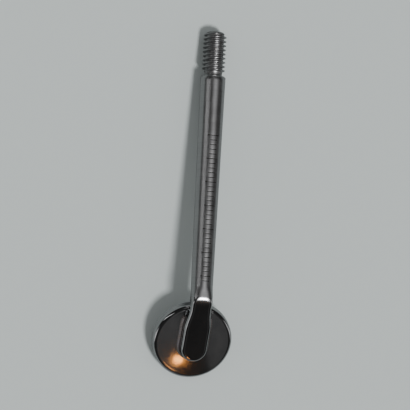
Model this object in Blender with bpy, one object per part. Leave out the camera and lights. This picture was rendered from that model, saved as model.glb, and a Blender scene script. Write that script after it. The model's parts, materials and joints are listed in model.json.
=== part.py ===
"""Mini mouth mirror head: a steel cup with a front-surface mirror on a bent, threaded stem.

The mirror lies as it comes to rest on a table, with its reflecting face down: the end of the
thread and the far edge of the rim touch the surface, and the bend stands clear of it.
World axes: +Y runs from the mirror to the threaded end, +Z is up, and the origin is at the
middle of the bottom of the whole object's box.
"""
import math

import bmesh
import bpy
from mathutils import Vector

MM = 0.001

# Pieces that touch on the real mirror keep this gap, so that each stays a body of its own.
GAP = 0.02 * MM

# Threaded end: M2.5 with a 0.45 mm pitch, cut on the end of the stem.
THREAD_OUTER_RADIUS = 1.225 * MM
THREAD_ROOT_RADIUS = 0.955 * MM
THREAD_PITCH = 0.45 * MM
THREAD_LENGTH = 4.3 * MM
THREAD_END_RADIUS = 0.85 * MM
THREAD_CHAMFER = 0.35 * MM
THREAD_RUNOUT = 0.2 * MM
CREST_SHARE = 0.125
ROOT_SHARE = 0.25
RINGS_PER_PITCH = 8

# Relief groove and the shoulder that seats against the handle.
GROOVE_RADIUS = 0.93 * MM
GROOVE_LENGTH = 0.45 * MM
GROOVE_ENTRY = 0.09 * MM
SHOULDER_RADIUS = 1.34 * MM
SHOULDER_CHAMFER = 0.12 * MM

# Shank: tapers from the shoulder to the neck, then is pressed flat where it joins the cup.
STEM_LENGTH = 29.4 * MM
NECK_RADIUS = 1.14 * MM
FLATTENING_START = 1.2 * MM
TOP_FLATTENING_START = 2.3 * MM
TOP_FLATTENING_LENGTH = 1.6 * MM
TOP_SQUARENESS = 3.3
BEND_RADIUS = 1.5 * MM
BEND_ANGLE = math.radians(30.0)

# Tongue: the flattened end of the stem on the back of the cup.
TONGUE_LENGTH = 6.25 * MM
TONGUE_WIDTH = 2.9 * MM
TONGUE_THICKNESS = 1.2 * MM
TONGUE_SQUARENESS = 4.5
TONGUE_FLARE_LENGTH = 2.6 * MM
TONGUE_EDGE_SHARPNESS = 6.0
ROUND_SQUARENESS = 2.0

# Mirror: an 8 mm glass in a drawn cup, whose rim is rolled over the glass's bevelled edge.
GLASS_RADIUS = 4.0 * MM
GLASS_THICKNESS = 0.9 * MM
GLASS_BEVEL = 0.15 * MM
GLASS_BACK_CHAMFER = 0.12 * MM
COATING_RADIUS = 3.78 * MM
COATING_THICKNESS = 0.03 * MM
CEMENT_RADIUS = 3.7 * MM
CEMENT_THICKNESS = 0.08 * MM
SEAL_WIDTH = 0.08 * MM
SEAL_THICKNESS = 0.04 * MM
SEAL_EDGE_SHARE = 0.6
CUP_SHEET = 0.22 * MM
CUP_SIDE_CLEARANCE = 0.04 * MM
CUP_BACK_CORNER = 0.45 * MM
CUP_FRONT_CORNER = 0.1 * MM
RIM_STANDS_PROUD = 0.04 * MM

# The bend's corner lies this far from the middle of the cup, along the tongue.
BEND_TO_CUP_CENTRE = 4.5 * MM

# Weld: a fillet bead along both sides of the tongue and round its end.
WELD_START = 1.4 * MM
WELD_WIDTH = 0.3 * MM
WELD_HEIGHT = 0.3 * MM
WELD_FULLNESS = 1.38

# Even numbers that 4 doesn't divide: points lie at both sides of a round piece, and flats at its
# top and bottom, so the thread and the rim each rest on a flat and not on a point.
STEM_SEGMENTS = 26
DISC_SEGMENTS = 50

# Numbers of steps along each stretch.
CORNER_STEPS = 4
SHANK_STEPS = 6
FLATTENING_STEPS = 9
BEND_STEPS = 6
TONGUE_STEPS = 6
TIP_STEPS = 7
WELD_SECTION_STEPS = 4

# The tongue's tip ends in a small flat, after this share of its quarter turn.
TIP_TURN_SHARE = 0.94

# Faces that meet at a smaller angle than this are shaded as one smooth surface.
SMOOTH_ANGLE = math.radians(35.0)
MERGE_DISTANCE = 0.0001 * MM
HALVINGS = 60

# Worked out from the sizes above.
CUP_INNER_RADIUS = GLASS_RADIUS + CUP_SIDE_CLEARANCE
CUP_OUTER_RADIUS = CUP_INNER_RADIUS + CUP_SHEET
GLASS_BACK_Z = -(CUP_SHEET + GAP + CEMENT_THICKNESS + GAP)
GLASS_FRONT_Z = GLASS_BACK_Z - GLASS_THICKNESS
COATING_FRONT_Z = GLASS_FRONT_Z - GAP - COATING_THICKNESS
CUP_FRONT_Z = COATING_FRONT_Z - RIM_STANDS_PROUD
RIM_INNER_RADIUS = COATING_RADIUS + GAP + SEAL_WIDTH + GAP
TONGUE_AXIS_HEIGHT = GAP + TONGUE_THICKNESS / 2
BEND_TANGENT = BEND_RADIUS * math.tan(BEND_ANGLE / 2)
TONGUE_TIP_START = TONGUE_LENGTH - TONGUE_WIDTH / 2


def clear_scene():
    """Remove every object that the scene starts with."""
    for item in list(bpy.data.objects):
        bpy.data.objects.remove(item, do_unlink=True)


def smooth_step(value):
    """Ease from 0 to 1 with level ends."""
    value = min(max(value, 0.0), 1.0)
    return value * value * (3.0 - 2.0 * value)


def blend(start, end, share):
    return start + (end - start) * share


def make_material(name, colour, metallic, roughness):
    material = bpy.data.materials.new(name)
    material.use_nodes = True
    shader = material.node_tree.nodes["Principled BSDF"]
    shader.inputs["Base Color"].default_value = (*colour, 1.0)
    shader.inputs["Metallic"].default_value = metallic
    shader.inputs["Roughness"].default_value = roughness
    return material


def add_empty(name, parent=None, location=(0.0, 0.0, 0.0), turn_about_x=0.0):
    empty = bpy.data.objects.new(name, None)
    empty.empty_display_size = 2 * MM
    empty.parent = parent
    empty.location = location
    empty.rotation_euler.x = turn_about_x
    bpy.context.scene.collection.objects.link(empty)
    return empty


def add_piece(name, bm, parent, material):
    """Turn a bmesh into a named, smooth-shaded object under its parent."""
    bmesh.ops.recalc_face_normals(bm, faces=bm.faces[:])
    mesh = bpy.data.meshes.new(name)
    bm.to_mesh(mesh)
    bm.free()
    mesh.shade_smooth()
    mesh.set_sharp_from_angle(angle=SMOOTH_ANGLE)
    mesh.materials.append(material)
    piece = bpy.data.objects.new(name, mesh)
    piece.parent = parent
    bpy.context.scene.collection.objects.link(piece)
    return piece


def loft(rings):
    """Join closed rings of equal length with quads and cap both ends."""
    bm = bmesh.new()
    rows = []
    for ring in rings:
        rows.append([bm.verts.new(point) for point in ring])
    for row, following in zip(rows, rows[1:]):
        for index in range(len(row)):
            beside = (index + 1) % len(row)
            bm.faces.new((row[index], row[beside], following[beside], following[index]))
    bm.faces.new(rows[0])
    bm.faces.new(rows[-1])
    return bm


def arc(centre_r, centre_z, radius, start_degrees, end_degrees, steps=CORNER_STEPS):
    """Points of a round corner in a turned profile, as (radius, height) pairs."""
    points = []
    for step in range(steps + 1):
        angle = math.radians(blend(start_degrees, end_degrees, step / steps))
        points.append((centre_r + radius * math.cos(angle), centre_z + radius * math.sin(angle)))
    return points


def turn_profile(profile, closed):
    """Spin (radius, height) points about the local Z axis into one closed body."""
    bm = bmesh.new()
    verts = [bm.verts.new((r, 0.0, z)) for r, z in profile]
    edges = [bm.edges.new(pair) for pair in zip(verts, verts[1:])]
    if closed:
        edges.append(bm.edges.new((verts[-1], verts[0])))
    bmesh.ops.spin(
        bm,
        geom=verts + edges,
        cent=(0.0, 0.0, 0.0),
        axis=(0.0, 0.0, 1.0),
        angle=2.0 * math.pi,
        steps=DISC_SEGMENTS,
        use_merge=True,
    )
    bmesh.ops.remove_doubles(bm, verts=bm.verts[:], dist=MERGE_DISTANCE)
    return bm


# ---------------------------------------------------------------- stem

def thread_radius(from_end, turn):
    """Radius of the thread at a distance from the stem's end, at a share of one turn."""
    phase = ((from_end / THREAD_PITCH) - turn) % 1.0
    flank_share = (1.0 - CREST_SHARE - ROOT_SHARE) / 2
    if phase < CREST_SHARE:
        depth = 0.0
    elif phase < CREST_SHARE + flank_share:
        depth = (phase - CREST_SHARE) / flank_share
    elif phase < CREST_SHARE + flank_share + ROOT_SHARE:
        depth = 1.0
    else:
        depth = (1.0 - phase) / flank_share
    radius = blend(THREAD_OUTER_RADIUS, THREAD_ROOT_RADIUS, depth)
    end_limit = blend(THREAD_END_RADIUS, THREAD_OUTER_RADIUS, from_end / THREAD_CHAMFER)
    runout = smooth_step((THREAD_LENGTH - from_end) / THREAD_RUNOUT)
    radius = blend(THREAD_ROOT_RADIUS, radius, runout)
    return min(radius, end_limit)


def stem_frame(from_bend):
    """Centre and upward normal of the stem's axis at a signed distance from the bend's corner.

    Positive distances lie on the straight shank, negative ones on the tongue.
    """
    if from_bend >= BEND_TANGENT:
        return Vector((0.0, from_bend, 0.0)), Vector((0.0, 0.0, 1.0))
    if from_bend > -BEND_TANGENT:
        share = (BEND_TANGENT - from_bend) / (2 * BEND_TANGENT)
        turned = BEND_ANGLE * share
        centre = Vector((0.0, BEND_TANGENT - BEND_RADIUS * math.sin(turned),
                         -BEND_RADIUS * (1.0 - math.cos(turned))))
        return centre, Vector((0.0, -math.sin(turned), math.cos(turned)))
    along = Vector((0.0, -math.cos(BEND_ANGLE), -math.sin(BEND_ANGLE)))
    return along * -from_bend, Vector((0.0, -math.sin(BEND_ANGLE), math.cos(BEND_ANGLE)))


def shank_radius(from_bend):
    """Radius of the round shank, which tapers evenly from the shoulder to the neck."""
    shank_length = STEM_LENGTH - THREAD_LENGTH - GROOVE_LENGTH
    return blend(NECK_RADIUS, SHOULDER_RADIUS, max(from_bend, 0.0) / shank_length)


def tongue_half_width(past_bend):
    """Half the width of the tongue in plan, with its flare from the neck and its round tip."""
    flare = smooth_step(past_bend / TONGUE_FLARE_LENGTH)
    half_width = blend(NECK_RADIUS, TONGUE_WIDTH / 2, flare)
    if past_bend > TONGUE_TIP_START:
        share = (past_bend - TONGUE_TIP_START) / (TONGUE_LENGTH - TONGUE_TIP_START)
        half_width *= math.sqrt(max(1.0 - share * share, 0.0))
    return half_width


def tongue_half_thickness(past_bend):
    """Half the thickness of the tongue, rounded off only at the very tip."""
    half_thickness = TONGUE_THICKNESS / 2
    if past_bend > TONGUE_TIP_START:
        share = (past_bend - TONGUE_TIP_START) / (TONGUE_LENGTH - TONGUE_TIP_START)
        fall = max(1.0 - share ** TONGUE_EDGE_SHARPNESS, 0.0)
        half_thickness *= fall ** (1.0 / TONGUE_EDGE_SHARPNESS)
    return half_thickness


def round_ring(from_end, radii):
    """Ring across the straight stem, with one radius for each segment."""
    centre, up = stem_frame(STEM_LENGTH - from_end)
    points = []
    for index, radius in enumerate(radii):
        angle = 2.0 * math.pi * index / STEM_SEGMENTS
        across = Vector((radius * math.cos(angle), 0.0, 0.0))
        points.append(centre + across + up * (radius * math.sin(angle)))
    return points


def plain_ring(from_end, radius):
    return round_ring(from_end, [radius] * STEM_SEGMENTS)


def superellipse(share, squareness):
    """Height from 0 to 1 at a share of the half width: round at 2, nearly square above 4."""
    return max(1.0 - abs(share) ** squareness, 0.0) ** (1.0 / squareness)


def flattened_ring(from_bend):
    """Ring where the round shank passes into the flat tongue.

    The tongue's flat top face runs on into the shank until it leaves it, in one straight fold.
    Underneath, the shank gets flatter step by step, so it stays clear of the cup.
    """
    centre, up = stem_frame(from_bend)
    radius = shank_radius(from_bend)
    half_width = radius
    if from_bend < 0.0:
        half_width = tongue_half_width(-from_bend)
    half_thickness = tongue_half_thickness(-from_bend)
    share = smooth_step((FLATTENING_START - from_bend) / (FLATTENING_START + BEND_TANGENT))
    depth = blend(radius, half_thickness, share)
    power = ROUND_SQUARENESS / blend(ROUND_SQUARENESS, TONGUE_SQUARENESS, share)
    top_share = smooth_step((TOP_FLATTENING_START - from_bend) / TOP_FLATTENING_LENGTH)
    top_squareness = blend(ROUND_SQUARENESS, TOP_SQUARENESS, top_share)
    tongue_up = stem_frame(-TONGUE_LENGTH)[1]
    face_height = (half_thickness - centre.dot(tongue_up)) / up.dot(tongue_up)
    points = []
    for index in range(STEM_SEGMENTS):
        angle = 2.0 * math.pi * index / STEM_SEGMENTS
        x = math.copysign(abs(math.cos(angle)) ** power, math.cos(angle))
        z = -depth * abs(math.sin(angle)) ** power
        if math.sin(angle) > 0.0:
            edge_fall = half_thickness * (1.0 - superellipse(x, TONGUE_SQUARENESS))
            z = min(radius * superellipse(x, top_squareness), face_height - edge_fall)
        points.append(centre + Vector((x * half_width, 0.0, 0.0)) + up * z)
    return points


def stem_rings():
    """All rings of the stem, from the threaded end to the tip of the tongue."""
    rings = []
    thread_steps = round(THREAD_LENGTH / THREAD_PITCH * RINGS_PER_PITCH)
    for step in range(thread_steps + 1):
        from_end = THREAD_LENGTH * step / thread_steps
        radii = [thread_radius(from_end, index / STEM_SEGMENTS) for index in range(STEM_SEGMENTS)]
        rings.append(round_ring(from_end, radii))
    shoulder = THREAD_LENGTH + GROOVE_LENGTH
    rings.append(plain_ring(THREAD_LENGTH + GROOVE_ENTRY, GROOVE_RADIUS))
    rings.append(plain_ring(shoulder, GROOVE_RADIUS))
    rings.append(plain_ring(shoulder, SHOULDER_RADIUS - SHOULDER_CHAMFER))
    rings.append(plain_ring(shoulder + SHOULDER_CHAMFER, SHOULDER_RADIUS))
    shank_end = STEM_LENGTH - TOP_FLATTENING_START
    for step in range(1, SHANK_STEPS + 1):
        from_end = blend(shoulder + SHOULDER_CHAMFER, shank_end, step / SHANK_STEPS)
        rings.append(plain_ring(from_end, shank_radius(STEM_LENGTH - from_end)))
    for step in range(1, FLATTENING_STEPS + 1):
        from_bend = blend(TOP_FLATTENING_START, BEND_TANGENT, step / FLATTENING_STEPS)
        rings.append(flattened_ring(from_bend))
    for step in range(1, BEND_STEPS + 1):
        rings.append(flattened_ring(blend(BEND_TANGENT, -BEND_TANGENT, step / BEND_STEPS)))
    for step in range(1, TONGUE_STEPS + 1):
        past_bend = blend(BEND_TANGENT, TONGUE_TIP_START, step / TONGUE_STEPS)
        rings.append(flattened_ring(-past_bend))
    for past_bend in tip_stations():
        rings.append(flattened_ring(-past_bend))
    return rings


def tip_stations():
    """Distances past the bend for the round tip, closer together towards its end."""
    stations = []
    for step in range(1, TIP_STEPS + 1):
        share = math.sin(TIP_TURN_SHARE * math.pi / 2 * step / TIP_STEPS)
        stations.append(blend(TONGUE_TIP_START, TONGUE_LENGTH, share))
    return stations


def make_stem(parent, material):
    return add_piece("threaded_stem", loft(stem_rings()), parent, material)


# ---------------------------------------------------------------- weld

def weld_path():
    """Points of the tongue's outline in plan, with outward directions, side, tip and side."""
    stations = [WELD_START]
    for step in range(1, TONGUE_STEPS + 1):
        stations.append(blend(WELD_START, TONGUE_TIP_START, step / TONGUE_STEPS))
    stations += tip_stations()
    side = [Vector((tongue_half_width(past), BEND_TO_CUP_CENTRE - past)) for past in stations]
    tip = Vector((0.0, BEND_TO_CUP_CENTRE - TONGUE_LENGTH))
    other_side = [Vector((-point.x, point.y)) for point in reversed(side)]
    outline = side + [tip] + other_side
    path = []
    for index, point in enumerate(outline):
        before = outline[max(index - 1, 0)]
        after = outline[min(index + 1, len(outline) - 1)]
        along = (after - before).normalized()
        outward = Vector((-along.y, along.x))
        path.append((point, outward))
    return path


def make_weld(parent, material):
    """Fillet bead that stands on the cup's back, against the tongue's edge."""
    section = [(0.0, 0.0)]
    for step in range(WELD_SECTION_STEPS + 1):
        angle = math.pi / 2 * step / WELD_SECTION_STEPS
        section.append((math.cos(angle) ** WELD_FULLNESS, math.sin(angle) ** WELD_FULLNESS))
    rings = []
    for point, outward in weld_path():
        ring = []
        for out_share, up_share in section:
            place = point + outward * (GAP + WELD_WIDTH * out_share)
            ring.append((place.x, place.y, GAP + WELD_HEIGHT * up_share))
        rings.append(ring)
    return add_piece("weld_bead", loft(rings), parent, material)


# ---------------------------------------------------------------- mirror cup and what it holds

def make_cup(parent, material):
    """Drawn cup with a flat back, a round back edge and a rim rolled in over the glass."""
    outer = CUP_OUTER_RADIUS
    back_corner = arc(outer - CUP_BACK_CORNER, -CUP_BACK_CORNER, CUP_BACK_CORNER, 90.0, 0.0)
    front_corner = arc(
        outer - CUP_FRONT_CORNER, CUP_FRONT_Z + CUP_FRONT_CORNER, CUP_FRONT_CORNER, 0.0, -90.0)
    inner_corner_radius = CUP_BACK_CORNER - CUP_SHEET
    inner_corner = arc(CUP_INNER_RADIUS - inner_corner_radius, -CUP_SHEET - inner_corner_radius,
                       inner_corner_radius, 0.0, 90.0)
    profile = [(0.0, 0.0)]
    profile += back_corner
    profile += front_corner
    profile.append((RIM_INNER_RADIUS, CUP_FRONT_Z))
    profile.append((RIM_INNER_RADIUS, GLASS_FRONT_Z - GAP))
    profile.append((CUP_INNER_RADIUS, GLASS_FRONT_Z + GLASS_BEVEL - GAP))
    profile += inner_corner
    profile.append((0.0, -CUP_SHEET))
    return add_piece("mirror_cup", turn_profile(profile, closed=False), parent, material)


def make_cement(parent, material):
    """Thin bed of cement between the cup's floor and the glass."""
    top = -CUP_SHEET - GAP
    bottom = top - CEMENT_THICKNESS
    half = CEMENT_THICKNESS / 2
    profile = [(0.0, top)]
    profile += arc(CEMENT_RADIUS - half, top - half, half, 90.0, -90.0)
    profile.append((0.0, bottom))
    return add_piece("cement_bed", turn_profile(profile, closed=False), parent, material)


def make_glass(parent, material):
    """Round glass with a bevelled front edge and a ground back edge."""
    profile = [
        (0.0, GLASS_BACK_Z),
        (GLASS_RADIUS - GLASS_BACK_CHAMFER, GLASS_BACK_Z),
        (GLASS_RADIUS, GLASS_BACK_Z - GLASS_BACK_CHAMFER),
        (GLASS_RADIUS, GLASS_FRONT_Z + GLASS_BEVEL),
        (GLASS_RADIUS - GLASS_BEVEL, GLASS_FRONT_Z),
        (0.0, GLASS_FRONT_Z),
    ]
    return add_piece("mirror_glass", turn_profile(profile, closed=False), parent, material)


def make_coating(parent, material):
    """Reflecting metal layer on the front of the glass, drawn thicker than it is."""
    top = GLASS_FRONT_Z - GAP
    profile = [
        (0.0, top),
        (COATING_RADIUS, top),
        (COATING_RADIUS, COATING_FRONT_Z),
        (0.0, COATING_FRONT_Z),
    ]
    return add_piece("rhodium_coating", turn_profile(profile, closed=False), parent, material)


def make_seal(parent, material):
    """Narrow ring of sealant between the rim and the edge of the reflecting layer."""
    inner = COATING_RADIUS + GAP
    top = GLASS_FRONT_Z - GAP
    edge = top - SEAL_EDGE_SHARE * SEAL_THICKNESS
    profile = [
        (inner, top),
        (inner, edge),
        (inner + SEAL_WIDTH / 2, top - SEAL_THICKNESS),
        (inner + SEAL_WIDTH, edge),
        (inner + SEAL_WIDTH, top),
    ]
    return add_piece("edge_seal", turn_profile(profile, closed=True), parent, material)


# ---------------------------------------------------------------- pose on the table

def thread_height(stem_slope):
    """Height of the lowest thread crest over the bend's corner, at a slope of the stem."""
    reach = STEM_LENGTH - THREAD_CHAMFER
    return -reach * math.sin(stem_slope) - THREAD_OUTER_RADIUS * math.cos(stem_slope)


def rim_height(stem_slope):
    """Height of the rim's far, rounded front edge over the bend's corner, at a stem slope."""
    face_slope = BEND_ANGLE - stem_slope
    reach = BEND_TO_CUP_CENTRE + CUP_OUTER_RADIUS - CUP_FRONT_CORNER
    depth = TONGUE_AXIS_HEIGHT - CUP_FRONT_Z - CUP_FRONT_CORNER
    return -reach * math.sin(face_slope) - depth * math.cos(face_slope) - CUP_FRONT_CORNER


def resting_slope():
    """Slope of the stem at which the thread and the rim's far edge lie on one table."""
    low = 0.0
    high = BEND_ANGLE
    for _ in range(HALVINGS):
        middle = (low + high) / 2
        if thread_height(middle) > rim_height(middle):
            low = middle
        else:
            high = middle
    return (low + high) / 2


def centre_on_floor(root, pieces):
    """Move the whole mirror so that the origin is at its box's bottom centre."""
    bpy.context.view_layer.update()
    corners = [piece.matrix_world @ vert.co for piece in pieces for vert in piece.data.vertices]
    lowest = [min(corner[axis] for corner in corners) for axis in range(3)]
    highest = [max(corner[axis] for corner in corners) for axis in range(3)]
    root.location.x -= (lowest[0] + highest[0]) / 2
    root.location.y -= (lowest[1] + highest[1]) / 2
    root.location.z -= lowest[2]
    bpy.context.view_layer.update()


def main():
    clear_scene()
    stem_steel = make_material("stem_steel", (0.56, 0.56, 0.57), metallic=1.0, roughness=0.28)
    cup_steel = make_material("cup_steel", (0.60, 0.60, 0.61), metallic=1.0, roughness=0.16)
    weld_metal = make_material("weld_metal", (0.45, 0.42, 0.40), metallic=1.0, roughness=0.38)
    cement = make_material("mirror_cement", (0.78, 0.76, 0.70), metallic=0.0, roughness=0.6)
    glass = make_material("mirror_glass", (0.72, 0.80, 0.78), metallic=0.0, roughness=0.05)
    rhodium = make_material("rhodium", (0.80, 0.80, 0.82), metallic=1.0, roughness=0.03)
    sealant = make_material("edge_sealant", (0.25, 0.25, 0.26), metallic=0.0, roughness=0.3)

    lying_pose = add_empty("lying_pose", turn_about_x=-resting_slope())
    across_tongue, up_from_tongue = stem_frame(-BEND_TO_CUP_CENTRE)
    cup_back_centre = across_tongue - up_from_tongue * TONGUE_AXIS_HEIGHT
    mirror_frame = add_empty("mirror_frame", lying_pose, cup_back_centre, BEND_ANGLE)

    pieces = [
        make_stem(lying_pose, stem_steel),
        make_weld(mirror_frame, weld_metal),
        make_cup(mirror_frame, cup_steel),
        make_cement(mirror_frame, cement),
        make_glass(mirror_frame, glass),
        make_coating(mirror_frame, rhodium),
        make_seal(mirror_frame, sealant),
    ]
    centre_on_floor(lying_pose, pieces)


main()
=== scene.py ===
"""Looks of a mini mouth mirror head: a steel cup with its glass on a bent, threaded stem.

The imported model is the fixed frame. Each visible piece is rebuilt here in fine mesh work, in one
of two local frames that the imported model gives:
  stem frame    origin at the bend's corner, +Y along the shank to the thread, +Z up from it
  mirror frame  origin at the middle of the cup's back, +Z out of the back, +Y towards the bend
"""
import json
import math

import bmesh
import bpy
import numpy as np
from mathutils import Matrix, Vector


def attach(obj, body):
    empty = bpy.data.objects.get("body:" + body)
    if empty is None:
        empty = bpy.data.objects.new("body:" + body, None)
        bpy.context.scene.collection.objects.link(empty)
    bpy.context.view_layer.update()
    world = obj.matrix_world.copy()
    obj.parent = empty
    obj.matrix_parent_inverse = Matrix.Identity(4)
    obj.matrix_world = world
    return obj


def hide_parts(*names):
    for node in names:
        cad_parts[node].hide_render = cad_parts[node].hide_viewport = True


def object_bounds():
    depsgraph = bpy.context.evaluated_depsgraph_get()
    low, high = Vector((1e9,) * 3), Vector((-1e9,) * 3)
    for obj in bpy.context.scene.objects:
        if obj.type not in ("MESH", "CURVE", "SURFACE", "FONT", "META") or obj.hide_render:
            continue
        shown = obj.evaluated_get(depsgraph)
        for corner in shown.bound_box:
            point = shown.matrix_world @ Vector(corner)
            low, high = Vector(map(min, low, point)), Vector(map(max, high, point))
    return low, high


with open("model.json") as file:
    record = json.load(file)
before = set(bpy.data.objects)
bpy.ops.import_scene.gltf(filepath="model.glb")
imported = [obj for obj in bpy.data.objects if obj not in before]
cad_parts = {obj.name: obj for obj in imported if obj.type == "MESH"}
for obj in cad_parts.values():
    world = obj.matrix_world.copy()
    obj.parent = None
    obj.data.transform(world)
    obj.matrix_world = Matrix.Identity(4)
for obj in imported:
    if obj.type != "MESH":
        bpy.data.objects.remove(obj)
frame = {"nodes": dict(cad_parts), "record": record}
cad_low, cad_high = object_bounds()

MM = 0.001

# Stem, from the threaded end to the bend.
STEM_LENGTH = 29.4 * MM
THREAD_OUTER_RADIUS = 1.225 * MM
THREAD_ROOT_RADIUS = 0.955 * MM
THREAD_PITCH = 0.45 * MM
THREAD_LENGTH = 4.3 * MM
THREAD_END_RADIUS = 0.85 * MM
THREAD_CHAMFER = 0.35 * MM
THREAD_RUNOUT = 0.2 * MM
THREAD_STEPS_PER_TURN = 20
THREAD_START = 0.012 * MM
CREST_SHARE = 0.125
ROOT_SHARE = 0.25
FLANK_EASE = 0.05
FLANK_TRIM = 0.01
GROOVE_RADIUS = 0.93 * MM
GROOVE_LENGTH = 0.45 * MM
SHOULDER_RADIUS = 1.34 * MM
SHOULDER_CHAMFER = 0.12 * MM
SHOULDER_EDGE = 0.003 * MM
NECK_RADIUS = 1.14 * MM
FLATTENING_START = 1.2 * MM
FLAT_EDGE_BLEND = 0.14 * MM
TOP_FLATTENING_START = 2.3 * MM
TOP_FLATTENING_LENGTH = 1.6 * MM
TOP_SQUARENESS = 3.3

# Bend and tongue.
BEND_RADIUS = 1.5 * MM
BEND_ANGLE = math.radians(30.0)
BEND_TANGENT = BEND_RADIUS * math.tan(BEND_ANGLE / 2)
BEND_TO_CUP_CENTRE = 4.5 * MM
TONGUE_LENGTH = 6.25 * MM
TONGUE_WIDTH = 2.9 * MM
TONGUE_THICKNESS = 1.2 * MM
TONGUE_TIP_START = TONGUE_LENGTH - TONGUE_WIDTH / 2
TONGUE_FLARE_LENGTH = 2.6 * MM
TONGUE_SQUARENESS = 4.5
TONGUE_EDGE_ROUND = 0.42 * MM
TONGUE_EDGE_POWER = 2.4
TONGUE_PRESS_LENGTH = 0.9 * MM
TONGUE_GAP = 0.02 * MM
TONGUE_AXIS_HEIGHT = TONGUE_GAP + TONGUE_THICKNESS / 2
TONGUE_TIP_REACH = 0.985
TONGUE_HEAT_START = 1.0 * MM
TONGUE_HEAT_RAMP = 0.8 * MM
TONGUE_HEAT_FROM = 0.62

# Marking on the shank: a plain row of short lines, each fifth one longer.
MARK_START = 11.2 * MM
MARK_PITCH = 0.5 * MM
MARK_COUNT = 32
MARK_HALF_WIDTH = 0.055 * MM
MARK_RAMP = 0.03 * MM
MARK_DEPTH = 0.005 * MM
MARK_HALF_ARC = math.radians(19.0)
MARK_LONG_HALF_ARC = math.radians(29.0)
MARK_ARC_RAMP = math.radians(3.0)
MARK_CENTRE_ANGLE = math.radians(85.0)
MARK_STATION_SHARES = (-1.0, -0.82, -0.64, -0.46, 0.0, 0.46, 0.64, 0.82, 1.0)

# Turned details of the stem in millimetres: dimple and end face as radius and depth, the groove
# as offset and fillet height, the shoulder's face as radii, its chamfer as shares of its length.
END_FACE_RINGS = ((0.06, 0.10), (0.15, 0.05), (0.20, 0.012), (0.24, 0.0), (0.5, 0.0),
                  (0.78, 0.0), (0.82, 0.004))
GROOVE_RINGS = ((0.06, 0.01), (0.12, 0.0), (0.34, 0.0), (0.41, 0.005), (0.44, 0.03))
SHOULDER_FACE_RADII = (0.99, 1.1, 1.19)
SHOULDER_CHAMFER_SHARES = (0.0, 0.12, 0.3, 0.6, 0.85)
DIMPLE_MIDDLE_DEPTH = 0.105 * MM

# Fineness of the meshes.
STEM_SEGMENTS = 128
DISC_SEGMENTS = 192
PLAIN_STATION_STEP = 0.45 * MM
PLAIN_STATION_START = 0.4 * MM
PLAIN_STATION_END = 0.3 * MM
NECK_STATION_STEP = 0.2 * MM
NECK_RINGS = 40
BEND_RINGS = 22
TONGUE_RINGS = 40
TIP_RINGS = 30


def frames_from_record():
    """Stem and mirror frames, worked out from the mount on the thread's end face."""
    mount = frame["record"]["mounts"][0]
    along = Vector(mount["axis"]).normalized()
    across = Vector((1.0, 0.0, 0.0))
    upward = across.cross(along)
    corner = Vector(mount["pos_m"]) - along * STEM_LENGTH
    stem = Matrix((across, along, upward)).transposed().to_4x4()
    stem.translation = corner
    tilt = Matrix.Rotation(BEND_ANGLE, 4, "X")
    past_bend = Vector((0.0, -math.cos(BEND_ANGLE), -math.sin(BEND_ANGLE)))
    tongue_up = Vector((0.0, -math.sin(BEND_ANGLE), math.cos(BEND_ANGLE)))
    back_centre = past_bend * BEND_TO_CUP_CENTRE - tongue_up * TONGUE_AXIS_HEIGHT
    return stem, stem @ Matrix.Translation(back_centre) @ tilt


STEM_FRAME, MIRROR_FRAME = frames_from_record()


# ---- shape helpers

def smooth_step(value):
    """Ease from 0 to 1 with level ends, for numbers and arrays."""
    value = np.clip(value, 0.0, 1.0)
    return value * value * (3.0 - 2.0 * value)


def mix(start, end, share):
    return start + (end - start) * share


def signed_power(value, power):
    return np.sign(value) * np.abs(value) ** power


def add_mesh(name, points, faces, place, masks=None, ways=None, straight=None):
    """Make a smooth mesh object from points in a local frame.

    The mesh itself is in world coordinates. Its materials read the local place of each point,
    or its place on the straightened piece if that is given, the named masks, and in ways the
    direction in which its highlights are drawn out.
    """
    points = np.array(points, float)
    matrix = np.array(place)
    world = points @ matrix[:3, :3].T + matrix[:3, 3]
    mesh = bpy.data.meshes.new(name)
    mesh.from_pydata(world.tolist(), [], faces)
    mesh.update()
    bm = bmesh.new()
    bm.from_mesh(mesh)
    bmesh.ops.recalc_face_normals(bm, faces=bm.faces[:])
    bm.to_mesh(mesh)
    bm.free()
    for mask_name, values in (masks or {}).items():
        attribute = mesh.attributes.new(mask_name, "FLOAT", "POINT")
        attribute.data.foreach_set("value", np.asarray(values, np.float32))
    vectors = {"local_place": points if straight is None else straight}
    if ways is not None:
        vectors["highlight_way"] = np.array(ways, float) @ matrix[:3, :3].T
    for vector_name, values in vectors.items():
        attribute = mesh.attributes.new(vector_name, "FLOAT_VECTOR", "POINT")
        attribute.data.foreach_set("vector", values.astype(np.float32).ravel())
    mesh.shade_smooth()
    piece = bpy.data.objects.new(name, mesh)
    bpy.context.scene.collection.objects.link(piece)
    return piece


def ring_quads(ring_count, segments, closed=False):
    """Quads between rings of points, and if closed also from the last ring to the first."""
    faces = []
    for ring in range(ring_count if closed else ring_count - 1):
        low = ring * segments
        high = (ring + 1) % ring_count * segments
        for index in range(segments):
            beside = (index + 1) % segments
            faces.append((low + index, low + beside, high + beside, high + index))
    return faces


def loft_faces(ring_count, segments):
    """Quads between rings of points, with a fan of triangles to one point at each end."""
    faces = ring_quads(ring_count, segments)
    first_point = ring_count * segments
    last_point = first_point + 1
    last_ring = (ring_count - 1) * segments
    for index in range(segments):
        beside = (index + 1) % segments
        faces.append((first_point, beside, index))
        faces.append((last_point, last_ring + index, last_ring + beside))
    return faces


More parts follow.
